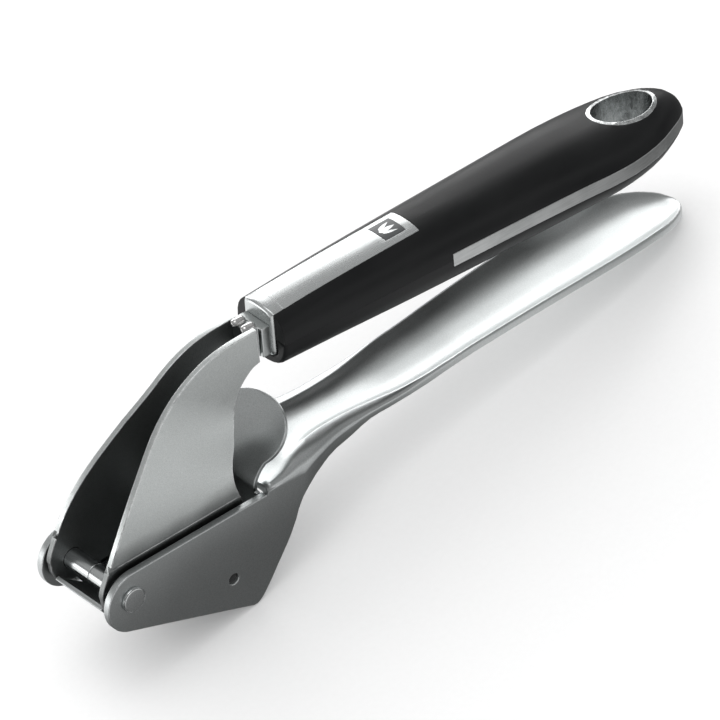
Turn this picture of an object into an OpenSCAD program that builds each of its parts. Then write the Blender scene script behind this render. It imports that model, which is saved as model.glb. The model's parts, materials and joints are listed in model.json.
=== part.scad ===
// Garlic press. Two arms turn on one hinge pin. The lower arm is a single formed sheet:
// two side plates, a neck and a trough handle, with a perforated insert between the plates.
// The upper arm is two bent cheeks welded to a block that carries a grip with a steel core.
// A pressing block swings on its own pin between the cheeks.
//
// Every piece is laid out about the hinge axis, with +X towards the tail, +Y along the
// hinge pin and +Z up, then the whole press is tipped to lie on the two lower plate
// corners and the tip of the lower handle.

/* [Lower arm] */
// Overall width over the side plates
arm_w = 27; // [24:0.5:32]
// Thickness of the lower arm's sheet
arm_t = 2; // [1.5:0.1:2.5]
// Height of the side plates' top edge over the hinge axis
plate_top = 7.2; // [6:0.1:9]
// Length from the hinge axis to the tip of the lower handle
arm_len = 189; // [170:0.2:210]
// Half width of the trough handle at its widest
trough_half = 12; // [10:0.2:14]

/* [Insert] */
// Thickness of the insert's sheet
insert_t = 1.1; // [0.8:0.1:1.5]
// Diameter of the holes in the floor
sieve_d = 1.7; // [1.2:0.1:2.2]
// Pitch of the holes along the floor and across it
sieve_pitch = 2.9; // [2.4:0.1:4]
// Half width of the thumb tab
tab_half = 12.3; // [10:0.1:13]
// Diameter of the pegs that hold the insert
peg_d = 3; // [2:0.1:4]

/* [Hinge] */
// Diameter of the pin's barrel
barrel_d = 5.4; // [4:0.1:7]
// Diameter of the pin's heads
head_d = 6.7; // [6:0.1:9]
// How far a head stands out of the side plate
head_t = 1; // [0.6:0.1:1.6]
// Radial clearance of the turning bores
run_gap = 0.05; // [0.01:0.01:0.1]

/* [Cheeks] */
// Thickness of a cheek's sheet
cheek_t = 1.6; // [1.2:0.1:2]
// Half of the gap between the cheeks at the hinge
cheek_gap = 9; // [8:0.1:10]
// Half of the gap between the cheeks at the neck
neck_gap = 3; // [2.5:0.1:4]

/* [Pressing block] */
// Half width of the block
press_half = 8.4; // [7:0.1:8.6]
// Diameter of the block's pin
press_pin_d = 4; // [3:0.1:5]

/* [Upper handle] */
// Distance from the hinge axis to the front of the handle
grip_start = 55.2; // [54:0.2:60]
// Distance from the hinge axis to the tail of the handle
grip_end = 191.2; // [180:0.2:200]
// Distance from the hinge axis to the front of the exposed core edge
band_start = 108; // [100:1:120]
// Thickness of the steel core
core_t = 3.8; // [3:0.1:5]
// Half width of the steel spine on top
spine_half = 5.2; // [4:0.1:6]
// Distance from the hinge axis to the rear of the spine
spine_end = 102.5; // [95:0.5:108]
// Side of the square badge
badge = 6.5; // [5:0.1:8]
// Length of the hanging hole over its rim
eye_l = 20.4; // [16:0.2:24]
// Width of the hanging hole over its rim
eye_w = 13.6; // [10:0.2:16]

/* [Hidden] */
$fn = 72;

rest_tilt = 11.87;            // handle line against the table
shift_x = -93.83;             // hinge axis to the middle of the length
shift_z = 30.07;              // hinge axis to the table
eps = 0.01;

outer = arm_w / 2;
inner = outer - arm_t;
steel = [0.74, 0.75, 0.76];
bright = [0.85, 0.86, 0.87];
black = [0.10, 0.10, 0.11];

// ---- curves and lofted solids

// a smooth curve through open points, n steps between neighbours
function tangent(p, i) = (p[min(i + 1, len(p) - 1)] - p[max(i - 1, 0)]) / 2;
function hermite(a, b, u, v, t) = a * (1 + t * t * (2 * t - 3)) + b * t * t * (3 - 2 * t)
    + u * t * (1 - t) * (1 - t) - v * t * t * (1 - t);
function smooth(p, n = 5) = concat(
    [for (i = [0 : len(p) - 2], k = [0 : n - 1])
        hermite(p[i], p[i + 1], tangent(p, i), tangent(p, i + 1), k / n)], [p[len(p) - 1]]);

// value at x of a smooth function given as [x, value] stations
function seg(x, s, i = 0) = i >= len(s) - 2 || x <= s[i + 1][0] ? i : seg(x, s, i + 1);
function slope(s, i) = let (a = max(i - 1, 0), b = min(i + 1, len(s) - 1))
    (s[b][1] - s[a][1]) / (s[b][0] - s[a][0]);
function at(x, s) = let (i = seg(x, s), h = s[i + 1][0] - s[i][0],
    t = min(max((x - s[i][0]) / h, 0), 1))
    hermite(s[i][1], s[i + 1][1], slope(s, i) * h, slope(s, i + 1) * h, t);

function ramp(t) = let (c = min(max(t, 0), 1)) c * c * (3 - 2 * c);

// closed solid between two grids of points that share their edges' order
module skin(top, bottom) {
    rows = len(top);
    cols = len(top[0]);
    function id(r, c) = r * cols + c;
    n = rows * cols;
    pts = [for (g = [top, bottom], r = g, p = r) p];
    grid = [for (r = [0 : rows - 2], c = [0 : cols - 2])
        each [[id(r, c), id(r, c + 1), id(r + 1, c + 1)],
              [id(r, c), id(r + 1, c + 1), id(r + 1, c)]]];
    back = [for (f = grid) [n + f[0], n + f[2], n + f[1]]];
    rim = concat([for (c = [0 : cols - 1]) id(0, c)],
        [for (r = [1 : rows - 1]) id(r, cols - 1)],
        [for (c = [cols - 2 : -1 : 0]) id(rows - 1, c)],
        [for (r = [rows - 2 : -1 : 1]) id(r, 0)]);
    m = len(rim);
    side = [for (i = [0 : m - 1]) let (a = rim[i], b = rim[(i + 1) % m])
        each [[b, a, n + a], [b, n + a, n + b]]];
    polyhedron(pts, concat(grid, back, side));
}

// closed solid through rings of points, capped at both ends
module loft(rings) {
    rows = len(rings);
    cols = len(rings[0]);
    wall = [for (r = [0 : rows - 2], c = [0 : cols - 1]) let (d = (c + 1) % cols)
        each [[r * cols + c, r * cols + d, (r + 1) * cols + d],
              [r * cols + c, (r + 1) * cols + d, (r + 1) * cols + c]]];
    polyhedron([for (r = rings, p = r) p], concat(wall,
        [[for (c = [cols - 1 : -1 : 0]) c]], [[for (c = [0 : cols - 1]) (rows - 1) * cols + c]]));
}

// side profile in X and Z, spread across Y from y0 to y1
module across(y0, y1) translate([0, y1, 0]) rotate([90, 0, 0]) linear_extrude(y1 - y0) children();

module rod(x, z, d, y0, y1) translate([x, y1, z]) rotate([90, 0, 0]) cylinder(d = d, h = y1 - y0);

module in_place() translate([shift_x, 0, shift_z]) rotate([0, rest_tilt, 0]) children();

// ---- lower arm: side plates, neck and trough handle formed from one sheet

plate_end_r = 8.4;                       // rounded front end of a side plate
plate_end_at = [0.9, -1.2];
floor_dir = -19.7;                       // slope of the plates' bottom edge
plate_low = [38.6, -22.3];
peg_at = [30.8, -11.7];
neck_x = 43.4;                           // front edge of the neck's sheet

plate_side = concat(
    [for (a = [90 : 7 : 244]) plate_end_at + plate_end_r * [cos(a), sin(a)]],
    smooth([plate_end_at + plate_end_r * [cos(250), sin(250)], [10.4, -13.5], [22, -17.7], [34.6, -22.3],
            [36.6, -22.9], plate_low, [41.5, -19.2], [45.2, -14.2], [48.6, -9.6], [50, -7.3]], 4),
    [[50, 5.6], [neck_x + 0.4, 5.6], [neck_x - 0.6, plate_top]]);

// half widths and heights of the formed sheet along its length
edge_half = [[40, outer], [54, outer], [58, 13.2], [63, 12.2], [68, 11.1], [74, 10.4], [82, 10.3],
             [90, 10.5], [107, 10.6], [113, 10.8], [130, 11.5], [150, trough_half], [166, 11.6],
             [176.7, 10], [182, 8.1], [186.2, 5.4], [188.1, 3.2], [arm_len, 1.2]];
crest_half = [[42, 12], [46, 11.8], [50.5, 10.9], [54.5, 9.4], [58.5, 8.2], [62.5, 7.3], [66, 6.9],
              [72, 6.7], [78, 7], [84, 7.7], [90, 8.7], [98, 9.6], [107, 10], [112, 12]];
crest_z = [[42, 9.2], [46, 9.2], [50.5, 9.8], [54.5, 11], [58.5, 11.6], [62.5, 11.8], [72, 11.6],
           [84, 11.2], [90, 11.2], [98, 11.8], [107, 12.5], [113, 13.1], [133, 14.4], [152, 15],
           [170, 14.8], [180.8, 13.5], [187.2, 12], [arm_len, 11.2]];
dish = [[42, 0.6], [50, 1.2], [60, 1.8], [75, 2.3], [100, 2.8], [130, 3.1], [155, 3.2], [172, 2.8],
        [183, 1.8], [arm_len, 0.1]];
flange_z = [[42, 0], [48, -5.4], [50, -7.3], [51.4, -4.7], [53.4, -0.4], [57.7, 3.7], [60.5, 5.1],
            [64.3, 6.4], [68.4, 6.8], [72, 7], [78.7, 8.6], [85.3, 8.8], [98, 9.4], [104, 10.1]];
edge_drop = arm_t + 0.2;

// outer and inner face of the sheet at x, from the middle of the trough to the flange's edge
function arm_outer(x) = let (
    e = min(outer, at(x, edge_half)), s0 = min(0.8, 0.35 * e),
    w = x > 108 ? e - s0 : min(at(x, crest_half), e - s0),
    zc = at(x, crest_z), d = at(x, dish),
    low = x > 104 ? zc - edge_drop : min(at(x, flange_z), zc - edge_drop),
    s = e - w, k = min(s, 0.45 * (zc - low)))
    concat([for (i = [0 : 8]) [x, w * i / 8, zc - d * (1 - pow(i / 8, 3))]],
           [for (i = [1 : 6]) [x, w + s * sin(15 * i), zc - k * (1 - cos(15 * i))]],
           [[x, e, (zc - k + low) / 2], [x, e, low]]);
function arm_inner(x) = let (
    e = min(outer, at(x, edge_half)), s0 = min(0.8, 0.35 * e),
    w = x > 108 ? e - s0 : min(at(x, crest_half), e - s0),
    zc = at(x, crest_z), d = at(x, dish),
    low = x > 104 ? zc - edge_drop : min(at(x, flange_z), zc - edge_drop),
    f = e - min(arm_t, 0.5 * e), v = min(w, 0.93 * f), s = f - v,
    under = [for (i = [0 : 8]) let (y = v * i / 8) [x, y, zc - d * (1 - pow(y / w, 3))
        - arm_t * norm([1, 3 * d * y * y / pow(w, 3)])]],
    z1 = under[8][2], k = min(s, 0.45 * max(0.1, z1 - low)))
    concat(under,
           [for (i = [1 : 6]) [x, v + s * sin(15 * i), max(z1 - k * (1 - cos(15 * i)), low + 0.05)]],
           [[x, f, max((z1 - k + low) / 2, low + 0.03)], [x, f, low]]);
function mirrored(row) = concat([for (i = [len(row) - 1 : -1 : 1]) [row[i][0], -row[i][1], row[i][2]]], row);

arm_x = concat([for (x = [neck_x : 1.8 : 49]) x], [for (x = [50 : 1.3 : 62]) x],
    [for (x = [64 : 3 : 112]) x], [for (x = [115 : 6 : 173]) x],
    [175, 178, 180.5, 182.6, 184.4, 186, 187.2, 188.1, 188.7, arm_len]);

module lower_arm() color(steel) in_place() difference() {
    union() {
        for (s = [-1, 1]) mirror([0, s < 0 ? 0 : 1, 0]) across(-outer, -inner) polygon(plate_side);
        skin([for (x = arm_x) mirrored(arm_outer(x))], [for (x = arm_x) mirrored(arm_inner(x))]);
    }
    rod(0, 0, barrel_d, -outer - 1, outer + 1);
    rod(peg_at[0], peg_at[1], peg_d, -outer - 1, outer + 1);
}

// ---- insert: perforated floor, back wall and thumb tab bent from one strip

// a bent strip of sheet: the path given is its outer face, the sheet lies t to the left
function side_of(p, i) = let (d = p[min(i + 1, len(p) - 1)] - p[max(i - 1, 0)]) [-d[1], d[0]] / norm(d);
function strip(p, t) = concat(p, [for (i = [len(p) - 1 : -1 : 0]) p[i] + t * side_of(p, i)]);

lip_r = barrel_d / 2 + 4;                // outside of the lip that hooks under the pin
tab_slope = 40;
tab_mid = [50, 15.9];                    // middle of the tab's oval
tab_len = 9.6;
tab_waist = 10.4;                        // half width where the tab leaves the back wall
insert_side = inner - 0.3;
trough_path = concat([for (a = [206 : 8 : 246]) lip_r * [cos(a), sin(a)]],
    smooth([[-0.6, -7.7], [4, -10.6], [10.4, -13.1], [22, -17.25], [33.6, -21.3], [36.7, -21.5],
            [38.8, -19.4], [41.8, -14.4], [43.2, -9.6], [43.6, -4], [43.1, 3], [42.7, 7.2]], 4));
tab_path = smooth([[43.1, 3], [42.7, 7.2], [42.9, 9.6], [44.6, 12.2], [48.6, 16], [53.4, 19.8],
                   [59, 23.9]], 4);

module insert_sheet() {
    intersection() {
        across(-insert_side, insert_side) polygon(strip(trough_path, insert_t));
        union() {
            translate([-10, 0.4 - cheek_gap, -30]) cube([60, 2 * (cheek_gap - 0.4), 60]);
            translate([2, -insert_side, -30]) cube([60, 2 * insert_side, 60]);
        }
    }
    intersection() {
        across(-tab_half - 1, tab_half + 1) polygon(strip(tab_path, insert_t));
        translate([tab_mid[0], 0, tab_mid[1]]) rotate([0, -tab_slope, 0]) translate([0, 0, -14])
            linear_extrude(24) polygon(concat(
                [for (a = [-120 : 6 : 120]) [tab_len * cos(a), tab_half * sin(a)]],
                [[-6.6, tab_waist], [-20, tab_waist], [-20, -tab_waist], [-6.6, -tab_waist]]));
    }
    for (s = [-1, 1]) mirror([0, s < 0 ? 0 : 1, 0])
        across(-insert_side, insert_t - insert_side)
        polygon(concat([[4, -8.9]], [for (p = trough_path) if (p[0] > 3.5 && p[1] < -6) p], [[43.4, -6]]));
}

module insert() color(steel) in_place() difference() {
    insert_sheet();
    for (i = [0 : 8], j = [-3 : 3])
        translate([8.4 + i * sieve_pitch * cos(floor_dir), j * sieve_pitch, -12.4 + i * sieve_pitch * sin(floor_dir)])
            rotate([0, -floor_dir, 0]) cylinder(d = sieve_d, h = 5, center = true, $fn = 24);
}

// two short pegs that snap through the plates' small holes and carry the insert
module insert_pegs() color(steel) in_place() for (y = [-insert_side - 1.5, insert_side])
    rod(peg_at[0], peg_at[1], peg_d, y, y + 1.5);

// ---- hinge: a two-part barrel pin, its halves meeting in the middle

spigot_d = 3.2;
module pin_half() {
    rod(0, 0, barrel_d, -outer, 0);
    translate([0, -outer, 0]) rotate([90, 0, 0]) {
        cylinder(d = head_d, h = head_t - 0.25);
        translate([0, 0, head_t - 0.25]) cylinder(d1 = head_d, d2 = head_d - 0.5, h = 0.25);
    }
}
module hinge_pin() color(bright) in_place() {
    pin_half();
    rod(0, 0, spigot_d, -eps, inner);
}
module hinge_sleeve() color(bright) in_place() difference() {
    mirror([0, 1, 0]) pin_half();
    rod(0, 0, spigot_d, -1, inner);
}
module thrust_washers() color(bright) in_place() for (y = [-inner, inner - 0.6]) difference() {
    rod(0, 0, 9.6, y, y + 0.6);
    rod(0, 0, barrel_d, y - 1, y + 2);
}

// ---- upper arm: two cheeks that lean together towards the neck

press_at = [27, 1.5];
fan = [72.8, 9];                         // the bend lines of a cheek meet here
function gap_at(x, z) = cheek_gap - (cheek_gap - neck_gap) * ramp(atan2(z - fan[1], fan[0] - x) / 35.2);
cheek_top = smooth([[-6.4, 0.6], [-6.5, 3], [-4.2, 7.9], [-0.2, 14.9], [4.7, 21.7], [10.5, 28.3],
    [16.8, 34.7], [23.7, 40.2], [30, 44.2], [36.3, 46.7], [42.8, 47.7], [51.1, 47.8]], 4);
cheek_back = smooth([[51.3, 38], [48.9, 37.4], [46, 35.2], [43.9, 32.6], [42.6, 29.5], [41.4, 25.5],
    [39.4, 20.8], [37.3, 17.4], [36.4, 14.6], [36.4, 11.5], [37.4, 8], [38.3, 3.4], [37.2, -0.8],
    [33, -2.9], [24, -4.1], [12, -5.4], [0.6, -6.4]], 3);
cheek_side = concat(cheek_top, cheek_back, [for (a = [260 : -12 : 188]) 6.4 * [cos(a), sin(a)]]);
fold_z = fan[1];

module cheek() difference() {
    union() {
        intersection() {
            across(cheek_gap, cheek_gap + cheek_t) polygon(cheek_side);
            translate([-20, 0, -20]) cube([80, 20, 20 + fold_z - 0.4]);
        }
        intersection() {
            across(0, 20) polygon(cheek_side);
            skin([for (x = [-8 : 2.05 : 53.6]) [for (z = [8 : 2.05 : 49.1]) [x, gap_at(x, z), z]]],
                 [for (x = [-8 : 2.05 : 53.6]) [for (z = [8 : 2.05 : 49.1]) [x, gap_at(x, z) + cheek_t, z]]]);
        }
    }
    rod(0, 0, barrel_d + 2 * run_gap, 0, 20);
    rod(press_at[0], press_at[1], press_pin_d, 0, 20);
}
module far_cheek() color(steel) in_place() cheek();
module near_cheek() color(steel) in_place() mirror([0, 1, 0]) cheek();

// the block the cheeks are welded to, with a collar against the handle
module neck_block() color(steel) in_place() {
    across(-neck_gap, neck_gap) polygon([[49.6, 39.4], [50.2, 38.6], [52.6, 38.6], [52.6, 47], [49.6, 47]]);
    translate([52.6, -4.4, 38.4]) cube([grip_start - 52.6, 8.8, 8.4]);
}
module neck_welds($fn = 24) color(bright) in_place() for (s = [-1, 1]) intersection() {
    translate([49.8, s * (neck_gap - 1.2), 47]) {
        rotate([0, 90, 0]) cylinder(r = 1.4, h = 1.6);
        sphere(r = 1.4);
        translate([1.6, 0, 0]) sphere(r = 1.4);
    }
    translate([40, -neck_gap, 47]) cube([12.4, 2 * neck_gap, 5]);
}

// ---- pressing block on its pin between the cheeks

press_side = concat([[8.2, -9.6], [9, -10.9]], [[32.6, -19.2]],
    smooth([[35, -19.4], [36.8, -18], [39.5, -13.2], [40.4, -9.5], [39.6, -6.8]], 4),
    [[31.4, -5.4], [22.6, -5.4], [9, -7]]);
module press_block() color(steel) in_place() difference() {
    union() {
        across(-press_half, press_half) polygon(press_side);
        across(-5, 5) polygon([[20, -6], [23.4, 3.6], [30.6, 3.6], [34, -6]]);
        rod(press_at[0], press_at[1], 8.4, -5, 5);
    }
    rod(press_at[0], press_at[1], press_pin_d + 2 * run_gap, -20, 20);
}
module press_pin() color(bright) in_place() {
    rod(press_at[0], press_at[1], press_pin_d, -cheek_gap - cheek_t, cheek_gap + cheek_t);
    for (y = [-cheek_gap - cheek_t - 0.5, cheek_gap + cheek_t])
        rod(press_at[0], press_at[1], press_pin_d + 1.6, y, y + 0.5);
}
module press_collars() color(bright) in_place() for (y = [-cheek_gap, 5.3]) difference() {
    rod(press_at[0], press_at[1], press_pin_d + 2.4, y, y + cheek_gap - 5.3);
    rod(press_at[0], press_at[1], press_pin_d, y - 1, y + 5);
}

// ---- handle: two black grip shells on a steel core, with a steel cap and spine

grip_half = [[grip_start, 8.8], [75, 9.6], [100, 10.5], [130, 11.5], [150, 12.3], [160, 12.7],
             [168, 12.4], [176, 10.9], [182, 8.4], [187, 5.8], [189.6, 3.8], [grip_end, 1.9]];
grip_mid = [[grip_start, 42.7], [75, 42.1], [97, 41.4], [130, 40.5], [150, 39.9], [160, 39.4],
            [168, 39.2], [176, 39.1], [182, 38.7], [187, 38.2], [189.6, 37.7], [grip_end, 37]];
grip_up = [[grip_start, 8.3], [75, 9.3], [97, 9.9], [130, 10.3], [150, 10.4], [160, 10], [168, 9.4],
           [176, 8.9], [182, 8.5], [187, 7.1], [189.6, 5.4], [grip_end, 3.4]];
grip_down = [[grip_start, 8.6], [75, 8.9], [97, 9.5], [130, 10], [150, 9.8], [160, 9.3], [168, 8.7],
             [176, 8.1], [182, 7.1], [187, 5.5], [189.6, 4.1], [grip_end, 2.6]];
grip_x = concat([for (x = [grip_start : 6 : 158]) x], [162, 166, 170, 174, 178, 181, 183.6, 186,
                188, 189.6, 190.6, grip_end]);
round_pow = 2 / 2.4;
function bulge(c) = sign(c) * pow(abs(c), round_pow);
module handle_solid() loft([for (x = grip_x) [for (a = [348 : -12 : 0])
    [x, at(x, grip_half) * bulge(cos(a)),
     at(x, grip_mid) + (sin(a) < 0 ? at(x, grip_down) : at(x, grip_up)) * bulge(sin(a))]]]);

mid_line = [for (x = [band_start : 5 : grip_end + 4]) [x, at(x, grip_mid)]];
tang_z = at(band_start, grip_mid);
front_line = [[grip_start, at(grip_start, grip_mid)], [band_start, tang_z]];
tang_half = 4;
cap_end = grip_start + 3.8;
cap_low = 37.2;                          // lower end of the cap's front face
cap_round = 1.8;
spine_z = 48.6;                          // flat underside of the spine
black_start = grip_start + 0.8;

// side profile of the core: exposed plate at the rear, narrow tang in front
module core_side(grow = 0) polygon(concat(
    [for (p = mid_line) p + [0, core_t / 2 + grow]],
    [for (i = [len(mid_line) - 1 : -1 : 0]) mid_line[i] - [0, core_t / 2 + grow]]));
module core_tang(grow = 0) translate([cap_end - 0.8, -tang_half, 0])
    across(-grow, 2 * tang_half + grow) translate([-cap_end + 0.8, 0])
    polygon([[cap_end, 44.1], [band_start + 1, tang_z + core_t / 2],
             [band_start + 1, tang_z - core_t / 2], [cap_end, 40.5]]);

// oval that runs through the tail of the handle, leaning with its top face
eye_at = [171.8, 40.2];
eye_lean = 9;
module oval(l, w, h) translate([eye_at[0], 0, eye_at[1]]) rotate([0, eye_lean, 0]) translate([0, 0, -h / 2])
    linear_extrude(h) polygon([for (a = [0 : 6 : 354]) [l / 2 * cos(a), w / 2 * sin(a)]]);

core_x = concat([band_start], [for (x = grip_x) if (x > band_start) x]);
rivet_x = [119, 134, 149];
stud_x = [68, 88];
module rivet_bodies(d) for (x = rivet_x) translate([x, 0, at(x, grip_mid) - 5.5]) cylinder(d = d, h = 11);
module stud_bodies(d) for (x = stud_x) translate([x, 0, 43.6]) cylinder(d = d, h = spine_z - 43.6);

module core_plate() color(steel) in_place() difference() {
    union() {
        intersection() {
            across(-20, 20) core_side();
            linear_extrude(80) polygon(concat([for (x = core_x) [x, -at(x, grip_half)]],
                [for (i = [len(core_x) - 1 : -1 : 0]) [core_x[i], at(core_x[i], grip_half)]]));
        }
        core_tang();
    }
    oval(eye_l, eye_w, 30);
    rivet_bodies(4);
    stud_bodies(3);
}

// everything above (side = 1) or below (side = -1) the line where the shells part
module shell_zone(side) across(-20, 20) polygon(concat(
    [[grip_start - 5, front_line[0][1]], front_line[1]],
    [for (p = mid_line) p + [0, side * core_t / 2]], [[grip_end + 9, 30 + side * 6], [grip_end + 9, 42 + side * 40],
    [grip_start - 5, 42 + side * 40]]));

module grip_shell(side) difference() {
    intersection() {
        handle_solid();
        shell_zone(side);
        translate([black_start, -20, 0]) cube([200, 40, 80]);
    }
    core_tang();
    cap_block();
    oval(eye_l, eye_w, 40);
    rivet_bodies(4);
    stud_bodies(3);
    translate([cap_end - 1, -spine_half, spine_z]) cube([spine_end - cap_end + 1, 2 * spine_half, 9]);
}
module cap_block() translate([grip_start - 1, 0, 0]) rotate([90, 0, 90])
    linear_extrude(cap_end - grip_start + 1) polygon(concat([[spine_half, 58], [-spine_half, 58]],
        [for (a = [180 : 15 : 270]) [cap_round - spine_half, cap_low + cap_round] + cap_round * [cos(a), sin(a)]],
        [for (a = [270 : 15 : 360]) [spine_half - cap_round, cap_low + cap_round] + cap_round * [cos(a), sin(a)]]));

module upper_grip() color(black) in_place() grip_shell(1);
module lower_grip() color(black) in_place() grip_shell(-1);
module end_cap() color(bright) in_place() intersection() {
    handle_solid();
    cap_block();
}
badge_x = 96.7;
module badge_box() translate([badge_x - badge / 2, -badge / 2, 50.3]) cube([badge, badge, 5]);
module top_spine() color(bright) in_place() difference() {
    intersection() {
        handle_solid();
        translate([cap_end, -spine_half, spine_z]) cube([spine_end - cap_end, 2 * spine_half, 9]);
    }
    badge_box();
}
module badge_plate() color([0.2, 0.2, 0.22]) in_place() intersection() {
    handle_solid();
    badge_box();
}
module spine_studs() color(steel) in_place() stud_bodies(3);
module grip_rivets() color(steel) in_place() rivet_bodies(4);

// the hanging hole's oval liner, pushed in from both faces
eye_wall = 1.2;
module eyelet(side) intersection() {
    difference() {
        oval(eye_l, eye_w, 40);
        oval(eye_l - 2 * eye_wall, eye_w - 2 * eye_wall, 50);
    }
    handle_solid();
    across(-20, 20) polygon(concat([for (x = [150 : 5 : 200]) [x, at(x, grip_mid)]],
        [[200, 40 + side * 40], [150, 40 + side * 40]]));
}
module upper_eyelet() color(bright) in_place() eyelet(1);
module lower_eyelet() color(bright) in_place() eyelet(-1);

lower_arm();
insert();
insert_pegs();
hinge_pin();
hinge_sleeve();
thrust_washers();
near_cheek();
far_cheek();
neck_block();
neck_welds();
end_cap();
core_plate();
top_spine();
spine_studs();
badge_plate();
upper_grip();
lower_grip();
grip_rivets();
upper_eyelet();
lower_eyelet();
press_block();
press_pin();
press_collars();
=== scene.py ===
import json
import math

import bmesh
import bpy
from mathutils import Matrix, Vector
from mathutils.bvhtree import BVHTree


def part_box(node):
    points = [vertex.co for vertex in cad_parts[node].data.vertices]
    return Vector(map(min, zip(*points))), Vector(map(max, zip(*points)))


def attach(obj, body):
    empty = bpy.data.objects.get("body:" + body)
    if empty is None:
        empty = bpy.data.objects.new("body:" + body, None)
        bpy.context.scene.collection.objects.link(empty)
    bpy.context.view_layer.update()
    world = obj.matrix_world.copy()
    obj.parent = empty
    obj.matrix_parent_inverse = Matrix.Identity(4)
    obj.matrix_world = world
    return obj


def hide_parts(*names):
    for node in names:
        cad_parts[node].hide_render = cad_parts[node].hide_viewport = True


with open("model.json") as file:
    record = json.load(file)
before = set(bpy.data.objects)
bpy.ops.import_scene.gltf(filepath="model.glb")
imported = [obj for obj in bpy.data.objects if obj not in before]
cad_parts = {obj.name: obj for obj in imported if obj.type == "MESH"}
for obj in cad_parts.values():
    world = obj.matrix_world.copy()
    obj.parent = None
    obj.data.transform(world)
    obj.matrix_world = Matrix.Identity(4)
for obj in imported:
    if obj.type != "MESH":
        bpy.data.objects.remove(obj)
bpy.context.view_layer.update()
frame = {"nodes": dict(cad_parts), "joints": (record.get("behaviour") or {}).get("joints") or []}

# ---- Lower arm
# One 2 mm stainless sheet, cut flat and folded: two side plates in front, a narrow neck,
# then a shallow trough that is the lower handle. Bead blasted all over after forming, so
# it is satin, with the cut edges rubbed a little brighter.

mm = 0.001
tilt = math.radians(11.87)
hinge = Vector(frame["joints"][0]["pos_m"])


def in_row(x, y, z):
    """A point given about the hinge, x along the handles, as a point of the row's frame."""
    along = x * math.cos(tilt) + z * math.sin(tilt)
    height = z * math.cos(tilt) - x * math.sin(tilt)
    return hinge + Vector((along, y, height)) * mm


def put_in_scene(work, name):
    """Turns a working mesh into a piece of the scene."""
    mesh = bpy.data.meshes.new(name)
    work.to_mesh(mesh)
    work.free()
    piece = bpy.data.objects.new(name, mesh)
    bpy.context.scene.collection.objects.link(piece)
    return piece


def blank_from(node, name, flat_within=0.2):
    """A working copy of a frame node, its points joined and each flat area made one face."""
    work = bmesh.new()
    work.from_mesh(frame["nodes"][node].data)
    bmesh.ops.remove_doubles(work, verts=work.verts, dist=0.002 * mm)
    bmesh.ops.dissolve_limit(work, angle_limit=math.radians(flat_within),
                             verts=work.verts, edges=work.edges)
    return put_in_scene(work, name)


def break_edges(piece, radius, sharper_than=38, steps=2):
    """Rounds every edge sharper than the angle and shades the rest smooth."""
    piece.data.shade_smooth()
    edge = piece.modifiers.new("broken edges", "BEVEL")
    edge.width = radius * mm
    edge.segments = steps
    edge.limit_method = "ANGLE"
    edge.angle_limit = math.radians(sharper_than)
    edge.use_clamp_overlap = False
    piece.modifiers.new("even shading", "WEIGHTED_NORMAL")


def spare_corners(piece, sharper_than, within, *corners):
    """Leaves the edges near some corners sharp, where there is no room to break them."""
    weights = piece.data.attributes.new("bevel_weight_edge", "FLOAT", "EDGE")
    work = bmesh.new()
    work.from_mesh(piece.data)
    spared = {}
    for edge in work.edges:
        if len(edge.link_faces) == 2 and edge.calc_face_angle(0) > math.radians(sharper_than):
            middle = (edge.verts[0].co + edge.verts[1].co) / 2
            spared[edge.index] = any((middle - corner).length < within * mm for corner in corners)
    work.free()
    for index, spare in spared.items():
        piece.data.edges[index].use_edge_sharp = spare
        weights.data[index].value = 0.0 if spare else 1.0
    piece.modifiers["broken edges"].limit_method = "WEIGHT"


def fit(piece, body, finish, slot, *nodes):
    """Gives a finished piece its material and its body, and hides the nodes it stands for."""
    piece.data.materials.clear()
    piece.data.materials.append(finish)
    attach(piece, body)
    if nodes:
        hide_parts(*nodes)


def sockets(group, ins, outs):
    for name, kind, value in ins:
        made = group.interface.new_socket(name=name, in_out="INPUT", socket_type=kind)
        if value is not None:
            made.default_value = value
    for name, kind in outs:
        group.interface.new_socket(name=name, in_out="OUTPUT", socket_type=kind)
    return group.nodes.new("NodeGroupInput"), group.nodes.new("NodeGroupOutput")


def feed(tree, value, socket):
    """Links a socket to an input, or sets a plain value on it."""
    if isinstance(value, bpy.types.NodeSocket):
        tree.links.new(value, socket)
    else:
        socket.default_value = value


def step(group, kind, op, *values):
    """A Math or Vector Math node with its inputs set or linked."""
    node = group.nodes.new(kind)
    node.operation = op
    for i, value in enumerate(values):
        feed(group, value, node.inputs[i])
    return node.outputs["Value"] if op == "DOT_PRODUCT" else node.outputs[0]


def cloud(group, where, scale, detail=2.0, rough=0.5):
    """Noise of a stated size, read in the piece's own coordinates."""
    node = group.nodes.new("ShaderNodeTexNoise")
    node.inputs["Detail"].default_value = detail
    node.inputs["Roughness"].default_value = rough
    group.links.new(where, node.inputs["Vector"])
    feed(group, scale, node.inputs["Scale"])
    return node.outputs[0]


def remap(group, value, low, high, to_low=0.0, to_high=1.0):
    """Stretches a value from one range over another, and clamps it there."""
    node = group.nodes.new("ShaderNodeMapRange")
    group.links.new(value, node.inputs["Value"])
    ends = {"From Min": low, "From Max": high, "To Min": to_low, "To Max": to_high}
    for name, end in ends.items():
        node.inputs[name].default_value = end
    return node.outputs["Result"]


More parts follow.
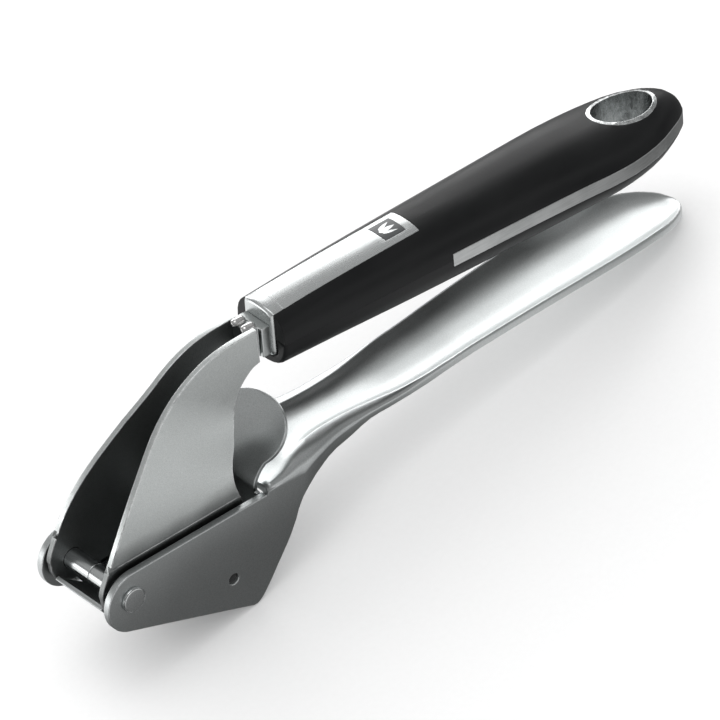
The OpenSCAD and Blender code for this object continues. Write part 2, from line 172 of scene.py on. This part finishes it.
def make_edge_rub():
    """Mask of the edges that handling has rubbed: outside corners, broken up by noise."""
    group = bpy.data.node_groups.new("edge rub", "ShaderNodeTree")
    a, b = sockets(group, [("Width", "NodeSocketFloat", 0.0004)], [("Mask", "NodeSocketFloat")])
    soft = group.nodes.new("ShaderNodeBevel")
    soft.samples = 4
    group.links.new(a.outputs["Width"], soft.inputs["Radius"])
    face = group.nodes.new("ShaderNodeNewGeometry")
    same = step(group, "ShaderNodeVectorMath", "DOT_PRODUCT", soft.outputs[0], face.outputs["Normal"])
    place = group.nodes.new("ShaderNodeTexCoord")
    patch = cloud(group, place.outputs["Object"], 900.0, 3.0)
    turned = remap(group, same, 0.995, 0.88)
    broken = remap(group, patch, 0.35, 0.6)
    mask = step(group, "ShaderNodeMath", "MULTIPLY", turned, broken)
    group.links.new(mask, b.inputs["Mask"])
    return group


def make_blasting():
    """The even pitted grain that bead blasting leaves, with slow drifts in how dull it is."""
    group = bpy.data.node_groups.new("blasting", "ShaderNodeTree")
    a, b = sockets(group, [("Pits per metre", "NodeSocketFloat", 4200.0)],
                   [("Height", "NodeSocketFloat"), ("Shade", "NodeSocketFloat"),
                    ("Dullness", "NodeSocketFloat")])
    place = group.nodes.new("ShaderNodeTexCoord")
    pits = cloud(group, place.outputs["Object"], a.outputs["Pits per metre"], 2.0, 0.6)
    group.links.new(pits, b.inputs["Height"])
    group.links.new(remap(group, pits, 0.3, 0.7, 0.9, 1.08), b.inputs["Shade"])
    drift = cloud(group, place.outputs["Object"], 55.0, 3.0)
    group.links.new(remap(group, drift, 0.3, 0.7), b.inputs["Dullness"])
    return group


edge_rub = make_edge_rub()
blasting = make_blasting()


def use(tree, group, **values):
    node = tree.nodes.new("ShaderNodeGroup")
    node.node_tree = group
    for name, value in values.items():
        node.inputs[name.replace("_", " ")].default_value = value
    return node


def tint(tree, factor, low, high):
    """A colour between two, by a mask; each is a colour or a socket that gives one."""
    node = tree.nodes.new("ShaderNodeMix")
    node.data_type = "RGBA"
    tree.links.new(factor, node.inputs[0])
    for colour, socket in ((low, node.inputs[6]), (high, node.inputs[7])):
        feed(tree, (*colour, 1) if isinstance(colour, tuple) else colour, socket)
    return node.outputs[2]


def new_finish(name):
    """An empty material, its node tree and its shader."""
    finish = bpy.data.materials.new(name)
    finish.use_nodes = True
    return finish, finish.node_tree, finish.node_tree.nodes["Principled BSDF"]


def relief(tree, height, depth):
    """A bump of a stated depth, in metres."""
    node = tree.nodes.new("ShaderNodeBump")
    node.inputs["Strength"].default_value = 1.0
    node.inputs["Distance"].default_value = depth
    tree.links.new(height, node.inputs["Height"])
    return node.outputs["Normal"]


def blasted_steel(name, low, high, dull, rubbed=(0.86, 0.87, 0.88), worn=0.0005):
    """Bead-blasted stainless: grain, drifting dullness and brighter rubbed edges."""
    finish, tree, shader = new_finish(name)
    shader.inputs["Metallic"].default_value = 1.0
    grain = use(tree, blasting, Pits_per_metre=4200.0)
    rub = use(tree, edge_rub, Width=worn)
    ground = tint(tree, remap(tree, grain.outputs["Shade"], 0.9, 1.08), low, high)
    edge = tint(tree, rub.outputs["Mask"], ground, rubbed)
    tree.links.new(edge, shader.inputs["Base Color"])
    rough = remap(tree, grain.outputs["Dullness"], 0.0, 1.0, dull - 0.03, dull + 0.03)
    tree.links.new(rough, shader.inputs["Roughness"])
    tree.links.new(relief(tree, grain.outputs["Height"], 0.00001), shader.inputs["Normal"])
    return finish


arm_steel = blasted_steel("blasted arm steel", (0.43, 0.45, 0.45), (0.55, 0.57, 0.57), 0.35)

arm = blank_from("lower_arm", "arm_sheet")
break_edges(arm, 0.28)
# The two corners where the neck leaves the plates and the very tip of the handle are too
# tight to break.
spare_corners(arm, 38, 2.8, in_row(43.4, -12.9, 7.6), in_row(43.4, 12.9, 7.6), in_row(188.6, 0, 10))
fit(arm, "lower", arm_steel, "satin_steel", "lower_arm")

# ---- Insert
# A strip of 1.1 mm stainless bent into the floor, back wall and thumb tab of the hopper,
# the floor punched with rows of holes. It drops between the side plates and snaps on two
# short pegs, and lifts out by the tab for washing.

insert_steel = blasted_steel("blasted insert steel", (0.40, 0.42, 0.42), (0.56, 0.58, 0.58), 0.33)
insert = blank_from("insert", "insert_sheet")
break_edges(insert, 0.16)
fit(insert, "lower", insert_steel, "satin_steel", "insert")

# ---- Hinge
# A turned two-part pin: one half's spigot is pressed into the bore of the other, and the
# chamfered heads stand a millimetre proud of the plates. A washer keeps each cheek off
# the plate beside it. Turned and polished, so brighter than the sheet parts.


def make_turning():
    """Fine rings and streaks of a polishing wheel, drawn out along one axis."""
    group = bpy.data.node_groups.new("polishing lines", "ShaderNodeTree")
    a, b = sockets(group, [("Stretch", "NodeSocketVector", (1.0, 1.0, 1.0)),
                           ("Lines per metre", "NodeSocketFloat", 3000.0)],
                   [("Height", "NodeSocketFloat"), ("Dullness", "NodeSocketFloat")])
    place = group.nodes.new("ShaderNodeTexCoord")
    level = group.nodes.new("ShaderNodeVectorRotate")
    level.rotation_type = "Y_AXIS"
    level.inputs["Angle"].default_value = -tilt
    group.links.new(place.outputs["Object"], level.inputs["Vector"])
    drawn = step(group, "ShaderNodeVectorMath", "MULTIPLY", level.outputs[0], a.outputs["Stretch"])
    lines = cloud(group, drawn, a.outputs["Lines per metre"], 3.0, 0.6)
    group.links.new(lines, b.inputs["Height"])
    smear = cloud(group, place.outputs["Object"], 140.0, 3.0)
    both = step(group, "ShaderNodeMath", "MULTIPLY", lines, smear)
    group.links.new(remap(group, both, 0.15, 0.35), b.inputs["Dullness"])
    return group


polishing = make_turning()


def polished_steel(name, low, high, dull, stretch, lines, depth=0.000002, worn=0.0003):
    """Polished stainless with faint lines left by the wheel."""
    finish, tree, shader = new_finish(name)
    shader.inputs["Metallic"].default_value = 1.0
    mark = use(tree, polishing, Stretch=stretch, Lines_per_metre=lines)
    rub = use(tree, edge_rub, Width=worn)
    ground = tint(tree, mark.outputs["Dullness"], high, low)
    edge = tint(tree, rub.outputs["Mask"], ground, (0.88, 0.89, 0.90))
    tree.links.new(edge, shader.inputs["Base Color"])
    rough = remap(tree, mark.outputs["Dullness"], 0.0, 1.0, dull - 0.01, dull + 0.02)
    tree.links.new(rough, shader.inputs["Roughness"])
    tree.links.new(relief(tree, mark.outputs["Height"], depth), shader.inputs["Normal"])
    return finish


pin_steel = polished_steel("polished pin steel", (0.52, 0.54, 0.54), (0.66, 0.68, 0.68), 0.2,
                           (1, 0.08, 1), 2600.0)
for node, radius in (("hinge_pin", 0.3), ("hinge_sleeve", 0.3), ("thrust_washers", 0.1)):
    turned = blank_from(node, node + "_turned")
    break_edges(turned, radius, 25, 3)
    fit(turned, "lower", pin_steel, "bright_steel", node)
# Painted shade: the pegs are coloured near black for the dark of the holes they sit in.
painted_shade_peg_steel = blasted_steel("dull peg steel painted as shade", (0.10, 0.10, 0.10), (0.16, 0.16, 0.16), 0.4,
                          (0.4, 0.4, 0.4))
pegs = blank_from("insert_pegs", "insert_pegs_turned")
break_edges(pegs, 0.2)
fit(pegs, "lower", painted_shade_peg_steel, "satin_steel", "insert_pegs")

# ---- Cheeks
# Two pressed stainless blades, mirror images, that start parallel at the hinge and fold
# in towards each other to meet the neck block. Blasted like the arm, their outline left
# with a bright sheared edge. The faces that look inward are given a duller finish, painted
# darker as the shade between the blades, and a soft darker band of painted shade runs
# along the plates' top edge.

def paint_shade_band(finish, full, clear, darkest):
    """Paints shade into a steel: a soft darker band along the plates' top edge.

    Below full it is at its darkest and above clear it is gone, in mm over the hinge.
    """
    tree = finish.node_tree
    shader = tree.nodes["Principled BSDF"]
    place = tree.nodes.new("ShaderNodeTexCoord")
    level = tree.nodes.new("ShaderNodeVectorRotate")
    level.rotation_type = "Y_AXIS"
    level.inputs["Center"].default_value = hinge
    level.inputs["Angle"].default_value = -tilt
    tree.links.new(place.outputs["Object"], level.inputs["Vector"])
    split = tree.nodes.new("ShaderNodeSeparateXYZ")
    tree.links.new(level.outputs[0], split.inputs[0])
    drift = cloud(tree, place.outputs["Object"], 60.0, 3.0)
    wander = remap(tree, drift, 0.3, 0.7, -1.5 * mm, 1.5 * mm)
    height = step(tree, "ShaderNodeMath", "ADD", split.outputs["Z"], wander)
    mask = remap(tree, height, hinge.z + full * mm, hinge.z + clear * mm, darkest, 1.0)
    shade = tree.nodes.new("ShaderNodeVectorMath")
    shade.operation = "SCALE"
    tree.links.new(shader.inputs["Base Color"].links[0].from_socket, shade.inputs[0])
    tree.links.new(mask, shade.inputs["Scale"])
    tree.links.new(shade.outputs[0], shader.inputs["Base Color"])


neck_steel = blasted_steel("blasted neck steel", (0.50, 0.525, 0.52), (0.62, 0.645, 0.64), 0.31)
cheek_steel = blasted_steel("blasted cheek steel", (0.52, 0.545, 0.54), (0.66, 0.685, 0.68), 0.31,
                            (0.95, 0.96, 0.96), 0.0009)
# Painted shade: a soft darker band on both blades along the plates' top edge.
paint_shade_band(cheek_steel, 7.5, 14.0, 0.3)
# Painted shade: a darker steel for the inward faces, for the shade between the blades.
painted_shade_inside_steel = blasted_steel("dull inside steel painted as shade", (0.20, 0.21, 0.21), (0.28, 0.29, 0.29), 0.45,
                             (0.5, 0.5, 0.5))
for node in ("near_cheek", "far_cheek"):
    cheek = blank_from(node, node + "_blade")
    break_edges(cheek, 0.2)
    inward = 1 if node == "near_cheek" else -1
    # Only the front end of the fold is spared. Along the rest of it the rounded edge still
    # stands up to 0.2 mm proud of the sheet.
    spare_corners(cheek, 38, 1.4, in_row(-3.6, -9.8 * inward, 8.6))
    fit(cheek, "upper", cheek_steel, "satin_steel", node)
    # The inward faces take the second steel, painted darker as shade.
    cheek.data.materials.append(painted_shade_inside_steel)
    for face in cheek.data.polygons:
        if face.normal.y * inward > 0.6:
            face.material_index = 1

# ---- Neck
# A machined block closes the gap between the cheeks and butts against the handle; a bead
# of weld runs along each cheek on top.

weld_steel = polished_steel("weld bead", (0.5, 0.5, 0.5), (0.72, 0.72, 0.71), 0.16,
                            (1, 1, 1), 1500.0, 0.00001)
neck = blank_from("neck_block", "neck_block_milled")
break_edges(neck, 0.3)
fit(neck, "upper", neck_steel, "satin_steel", "neck_block")
beads = blank_from("neck_welds", "neck_weld_beads", 0.05)
break_edges(beads, 0.08)
fit(beads, "upper", weld_steel, "bright_steel", "neck_welds")

# ---- Pressing block
# A cast stainless plunger that hangs on a pin between the cheeks, kept in the middle by
# two collars. The closed press hides all of it, so its form is a guess.

block_steel = blasted_steel("cast block steel", (0.38, 0.40, 0.40), (0.50, 0.52, 0.52), 0.38)
block = blank_from("press_block", "press_block_casting")
break_edges(block, 0.35)
fit(block, "press", block_steel, "satin_steel", "press_block")
for node in ("press_pin", "press_collars"):
    turned = blank_from(node, node + "_turned")
    break_edges(turned, 0.15, 25)
    fit(turned, "upper", pin_steel, "bright_steel", node)

# ---- Handle core
# A 3.8 mm stainless plate runs the length of the upper handle. Its edge shows as a band
# along both sides and round the tail, ground flush with the grips; rivets and studs that
# never show hold the shells and the spine to it.

core_steel = polished_steel("ground core edge", (0.40, 0.41, 0.41), (0.50, 0.51, 0.51), 0.3,
                            (0.04, 1, 1), 2600.0, 0.000001)
core = blank_from("core_plate", "core_plate_ground")
break_edges(core, 0.2)
fit(core, "upper", core_steel, "bright_steel", "core_plate")
for node in ("spine_studs", "grip_rivets"):
    turned = blank_from(node, node + "_turned")
    break_edges(turned, 0.15)
    fit(turned, "upper", pin_steel, "satin_steel", node)

# ---- Grip shells
# Two shells of hard black plastic moulded over the core, with the fine texture of the
# mould and faint, uneven handling marks.


def make_moulding():
    """Fine leathery texture of a mould, with faint handling marks over it."""
    group = bpy.data.node_groups.new("moulded texture", "ShaderNodeTree")
    a, b = sockets(group, [("Grains per metre", "NodeSocketFloat", 2600.0)],
                   [("Height", "NodeSocketFloat"), ("Handling", "NodeSocketFloat")])
    place = group.nodes.new("ShaderNodeTexCoord")
    cells = group.nodes.new("ShaderNodeTexVoronoi")
    group.links.new(place.outputs["Object"], cells.inputs["Vector"])
    group.links.new(a.outputs["Grains per metre"], cells.inputs["Scale"])
    fine = cloud(group, place.outputs["Object"], 5200.0, 2.0)
    group.links.new(step(group, "ShaderNodeMath", "ADD", cells.outputs["Distance"], fine), b.inputs["Height"])
    drawn = step(group, "ShaderNodeVectorMath", "MULTIPLY", place.outputs["Object"], (0.35, 1.0, 1.0))
    group.links.new(remap(group, cloud(group, drawn, 120.0, 4.0), 0.32, 0.68), b.inputs["Handling"])
    return group


def round_front(piece, radius):
    """Rounds the outline of the face that looks towards the hinge, except beside the cap."""
    beside_cap, cap_foot = 5.3 * mm, 0.0614
    work = bmesh.new()
    work.from_mesh(piece.data)
    forward = Vector((-math.cos(tilt), 0, math.sin(tilt)))
    foremost = max(v.co.dot(forward) for v in work.verts)
    rim = [e for e in work.edges if len(e.link_faces) == 2 and e.calc_face_angle(0) > 0.6
           and all(v.co.dot(forward) > foremost - 0.02 * mm for v in e.verts)
           and max(abs(v.co.y) for v in e.verts) + max(0, cap_foot - e.verts[0].co.z) > beside_cap]
    bmesh.ops.bevel(work, geom=rim, offset=radius * mm, segments=5, profile=0.5,
                    affect="EDGES", clamp_overlap=True)
    work.to_mesh(piece.data)
    work.free()


moulding = make_moulding()


def moulded(name, low, high, shiny, dull, grains, depth, glint=0.5):
    """A moulded skin: grain, and handling marks that shift its shade and its shine."""
    finish, tree, shader = new_finish(name)
    skin = use(tree, moulding, Grains_per_metre=grains)
    shade = tint(tree, skin.outputs["Handling"], low, high)
    tree.links.new(shade, shader.inputs["Base Color"])
    rough = remap(tree, skin.outputs["Handling"], 0.0, 1.0, shiny, dull)
    tree.links.new(rough, shader.inputs["Roughness"])
    tree.links.new(relief(tree, skin.outputs["Height"], depth), shader.inputs["Normal"])
    shader.inputs["Specular IOR Level"].default_value = glint
    return finish


grip_black = moulded("moulded grip black", (0.004, 0.0045, 0.005), (0.008, 0.0085, 0.009),
                     0.38, 0.46, 2600.0, 0.000008, glint=0.2)

for node in ("upper_grip", "lower_grip"):
    shell = blank_from(node, node + "_shell")
    round_front(shell, 0.9)
    break_edges(shell, 0.04)
    fit(shell, "upper", grip_black, "black_grip", node)

# ---- Cap, spine and badge
# A solid cap closes the front of the handle and a spine runs back from it along the top,
# both polished and flush with the grips. A square badge of dark enamel is let into the
# spine, with three plain cloves in bare metal on it.

spine_steel = polished_steel("polished spine steel", (0.58, 0.60, 0.60), (0.61, 0.63, 0.63), 0.27,
                             (0.02, 1, 1), 3000.0, 0.0000002, 0.0001)
cap_front, cap_back, cap_half, cap_low, cap_middle = 55.2, 59.0, 5.2, 37.2, 44.0
cap_corner, cap_fillet, wall_low, wall_high, wall_step = 1.8, 1.0, 3, 9.4, 1.6
crown_length, squareness = 19.8, 2.4


def crown(x, y):
    """Height of the handle's top surface over the hinge, near its front."""
    along = (x - cap_front) / crown_length
    half, middle, rise = 8.8 + 0.8 * along, 42.7 - 0.6 * along, 8.3 + along
    return middle + rise * (1 - (abs(y) / half) ** squareness) ** (1 / squareness)


def cap_outline(x, soft):
    """Outline of the cap across the handle; soft lowers its upper corners."""
    points = []
    for start, middle in ((180, cap_corner - cap_half), (270, cap_half - cap_corner)):
        for i in range(7):
            a = math.radians(start + 15 * i)
            points.append((middle + cap_corner * math.cos(a),
                           cap_low + cap_corner * (1 + math.sin(a))))
    points += [(cap_half, cap_low + wall_low + wall_step * i) for i in range(5)]
    for i in range(33):
        y = cap_half * (1 - i / 16)
        points.append((y, crown(x, y) - soft * abs(y / cap_half) ** 5))
    points += [(-cap_half, cap_low + wall_high - wall_step * i) for i in range(5)]
    return points


work = bmesh.new()
rings = []
for turn in range(0, 91, 10):
    a = math.radians(turn)
    deep, inset = cap_fillet * (1 - math.cos(a)), cap_fillet * (1 - math.sin(a))
    rings.append((cap_front + deep, inset, max(0, 0.8 - deep)))
rings += [(cap_front + 2.2, 0, 0), (cap_back, 0, 0)]
loops = []
for x, inset, soft in rings:
    narrow, low = 1 - inset / cap_half, 1 - inset / 6.6
    loops.append([work.verts.new(in_row(x, y * narrow, cap_middle + (z - cap_middle) * low))
                  for y, z in cap_outline(x, soft)])
for one, two in zip(loops, loops[1:]):
    for i in range(len(one)):
        j = (i + 1) % len(one)
        work.faces.new((one[i], two[i], two[j], one[j]))
work.faces.new(loops[0])
work.faces.new(loops[-1][::-1])
bmesh.ops.recalc_face_normals(work, faces=work.faces)
cap = put_in_scene(work, "end_cap_polished")
cap.data.shade_smooth()
cap.data.set_sharp_from_angle(angle=math.radians(40))
fit(cap, "upper", spine_steel, "bright_steel", "end_cap")
spine = blank_from("top_spine", "top_spine_polished")
break_edges(spine, 0.15)
fit(spine, "upper", spine_steel, "bright_steel", "top_spine")

enamel = moulded("dark badge enamel", (0.035, 0.038, 0.040), (0.06, 0.064, 0.066),
                 0.28, 0.36, 4000.0, 0.000004)
badge = blank_from("badge_plate", "badge_enamel")
break_edges(badge, 0.08)
fit(badge, "upper", enamel, "badge", "badge_plate")

badge_at = (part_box("badge_plate")[0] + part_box("badge_plate")[1]) / 2
badge_top = BVHTree.FromObject(badge, bpy.context.evaluated_depsgraph_get())


def clove(width, length, lean, shift):
    """Outline of one garlic clove, pointed in front, as points round it."""
    points = []
    for i in range(40):
        a = 2 * math.pi * i / 40
        bulge = math.sin(a) * (math.sin(a / 2) ** 0.9)
        x, y = length * math.cos(a) / 2, width * bulge / 2
        points.append((x * math.cos(lean) - y * math.sin(lean),
                       shift + x * math.sin(lean) + y * math.cos(lean)))
    return points


sunk, proud = 0.02 * mm, 0.05 * mm
mark = bmesh.new()
for width, length, lean, shift in ((1.9, 4.6, 0.0, 0.0), (1.2, 3.9, 0.3, 1.35), (1.2, 3.9, -0.3, -1.35)):
    lower, upper = [], []
    for x, y in clove(width, length, lean, shift):
        above = Vector((badge_at.x + x * mm, badge_at.y + y * mm, badge_at.z + 10 * mm))
        spot = badge_top.ray_cast(above, Vector((0, 0, -1)))[0]
        lower.append(mark.verts.new(spot - Vector((0, 0, sunk))))
        upper.append(mark.verts.new(spot + Vector((0, 0, proud))))
    mark.faces.new(upper)
    mark.faces.new(lower[::-1])
    for i in range(len(lower)):
        j = (i + 1) % len(lower)
        mark.faces.new((lower[i], lower[j], upper[j], upper[i]))
cloves = put_in_scene(mark, "badge_cloves")
fit(cloves, "upper", spine_steel, "bright_steel")

# ---- Hanging hole
# Two oval liners of bright stainless, drawn to shape and pushed into the tail from each
# face; only their rims and the inside of the hole show.

liner_steel = polished_steel("drawn liner steel", (0.30, 0.31, 0.31), (0.66, 0.68, 0.68), 0.26,
                             (1, 1, 0.5), 1100.0, 0.00006)
for node in ("upper_eyelet", "lower_eyelet"):
    liner = blank_from(node, node + "_drawn")
    break_edges(liner, 0.16, 38, 3)
    fit(liner, "upper", liner_steel, "bright_steel", node)

# ---- Table and light
# A pale matt table, and four soft panels: a wide one behind to the right, which the steel
# mirrors as its white highlight, one behind to the left, one overhead, and a weak one in
# front.


def panel(name, direction, away, wide, high, glow):
    """A soft lamp that looks at the press from a direction; glow is how bright its face is."""
    lamp = bpy.data.lights.new(name, "AREA")
    lamp.shape = "RECTANGLE"
    lamp.size, lamp.size_y = wide, high
    lamp.energy = glow * math.pi * wide * high
    stand = bpy.data.objects.new(name, lamp)
    toward = Vector(direction).normalized()
    stand.location = Vector((0, 0, 0.03)) + toward * away
    stand.rotation_euler = toward.to_track_quat("Z", "Y").to_euler()
    bpy.context.scene.collection.objects.link(stand)


panel("back panel", (0.46, 0.82, 0.28), 1.5, 1.9, 0.90, 2.6)
panel("left panel", (-0.78, 0.58, 0.16), 1.4, 1.0, 0.6, 1.9)
panel("top panel", (-0.05, 0.05, 1.0), 1.4, 0.9, 0.9, 1.3)
panel("front panel", (0.35, -1.0, 0.28), 1.6, 1.6, 0.5, 0.45)

table = bmesh.new()
half, below_feet = 3.0, 0.0002
for x, y in ((-half, -half), (half, -half), (half, half), (-half, half)):
    table.verts.new((x, y, -below_feet))
table.faces.new(table.verts)
table_top = put_in_scene(table, "table_top")
paper, tree, shader = new_finish("matt white paper")
place = tree.nodes.new("ShaderNodeTexCoord")
fibre = cloud(tree, place.outputs["Object"], 700.0, 3.0)
tree.links.new(tint(tree, fibre, (0.87, 0.87, 0.87), (0.90, 0.90, 0.90)), shader.inputs["Base Color"])
shader.inputs["Roughness"].default_value = 0.9
shader.inputs["Specular IOR Level"].default_value = 0.1


def to_mirrors(tree, plain, mirrored, surface):
    """Gives a surface one look to the eye and another to the steel that mirrors it."""
    pick = tree.nodes.new("ShaderNodeMixShader")
    ray = tree.nodes.new("ShaderNodeLightPath")
    tree.links.new(ray.outputs["Is Glossy Ray"], pick.inputs[0])
    tree.links.new(plain, pick.inputs[1])
    tree.links.new(mirrored, pick.inputs[2])
    tree.links.new(pick.outputs[0], surface)


def stops(tree, value, *marks):
    """A grey that runs through (place, brightness) marks."""
    ramp = tree.nodes.new("ShaderNodeValToRGB")
    ramp.color_ramp.interpolation = "EASE"
    while len(ramp.color_ramp.elements) < len(marks):
        ramp.color_ramp.elements.new(0.5)
    for element, (at, grey) in zip(ramp.color_ramp.elements, marks):
        element.position = at
        element.color = (grey, grey, grey, 1)
    tree.links.new(value, ramp.inputs[0])
    return ramp.outputs[0]


# What the steel sees of the table is chosen: dim just in front of the plates and
# beside the tail, as if black flags stood there, and bright elsewhere.
span = tree.nodes.new("ShaderNodeSeparateXYZ")
tree.links.new(place.outputs["Object"], span.inputs[0])
across = remap(tree, span.outputs["Y"], -0.4, 0.4)
painted_reflection_dim_band = stops(tree, across, (0.0, 1.0), (0.33, 0.95), (0.42, 0.6), (0.455, 0.14),
                (0.50, 0.14), (0.56, 1.2), (1.0, 1.3))
painted_reflection_open = stops(tree, across, (0.0, 1.0), (0.40, 0.9), (0.50, 0.9), (0.56, 1.2), (1.0, 1.3))
blend = tint(tree, remap(tree, span.outputs["X"], -0.005, 0.03), painted_reflection_dim_band, painted_reflection_open)
beside = remap(tree, span.outputs["Y"], -0.012, -0.024)
beside = step(tree, "ShaderNodeMath", "MULTIPLY", remap(tree, span.outputs["X"], 0.045, 0.11), beside)
beyond = remap(tree, span.outputs["X"], 0.10, 0.115)
near_tail = step(tree, "ShaderNodeMath", "MAXIMUM", beside, beyond)
# The table glows in this grey to glossy rays only, so the steel shows painted reflections: the dim patches as
# painted shade, the bright ones as painted highlights.
painted_reflection_glow = tree.nodes.new("ShaderNodeEmission")
tree.links.new(blend, painted_reflection_glow.inputs["Color"])
tree.links.new(remap(tree, near_tail, 0.0, 1.0, 1.0, 0.25), painted_reflection_glow.inputs["Strength"])
to_mirrors(tree, shader.outputs[0], painted_reflection_glow.outputs[0],
           tree.nodes["Material Output"].inputs["Surface"])
table_top.data.materials.append(paper)

# The room: evenly pale, but the steel sees walls that are bright low down and dim above.
sky = bpy.data.worlds.new("room")
sky.use_nodes = True
bpy.context.scene.world = sky
room = sky.node_tree
back = room.nodes["Background"]
place = room.nodes.new("ShaderNodeTexCoord")
split = room.nodes.new("ShaderNodeSeparateXYZ")
room.links.new(place.outputs["Generated"], split.inputs[0])
walls = stops(room, split.outputs["Z"], (0.0, 0.9), (0.12, 0.75), (0.38, 0.22),
              (0.72, 0.46), (1.0, 0.35))
back.inputs["Color"].default_value = (0.95, 0.95, 0.95, 1)
dim = room.nodes.new("ShaderNodeBackground")
room.links.new(walls, dim.inputs["Color"])
to_mirrors(room, back.outputs[0], dim.outputs[0], room.nodes["World Output"].inputs["Surface"])

# ---- Camera
# A long lens looks down on the press from in front and to the left, rolled a little.
# Its angles are in degrees, its aim and its distance in millimetres.

azimuth, elevation, roll = (math.radians(a) for a in (-29.94, 43.82, -17.45))
away = Vector((math.sin(azimuth) * math.cos(elevation),
               -math.cos(azimuth) * math.cos(elevation), math.sin(elevation)))
level = Vector((math.cos(azimuth), math.sin(azimuth), 0))
over = away.cross(level)
right = level * math.cos(roll) + over * math.sin(roll)
up = over * math.cos(roll) - level * math.sin(roll)
lens = bpy.data.cameras.new("long lens")
lens.lens, lens.sensor_width = 460, 36
lens.clip_end = 20
camera = bpy.data.objects.new("long lens", lens)
turn = camera.matrix_world.to_3x3()
turn.col[0], turn.col[1], turn.col[2] = right, up, away
camera.matrix_world = turn.to_4x4()
aim, distance = Vector((-6.92, -0.30, 30.13)), 2231.1
camera.location = aim * mm + away * distance * mm
bpy.context.scene.collection.objects.link(camera)
bpy.context.scene.camera = camera
bpy.context.scene.view_settings.view_transform = "Standard"


def plain(box):
    return [[round(float(v), 6) for v in corner] for corner in box]
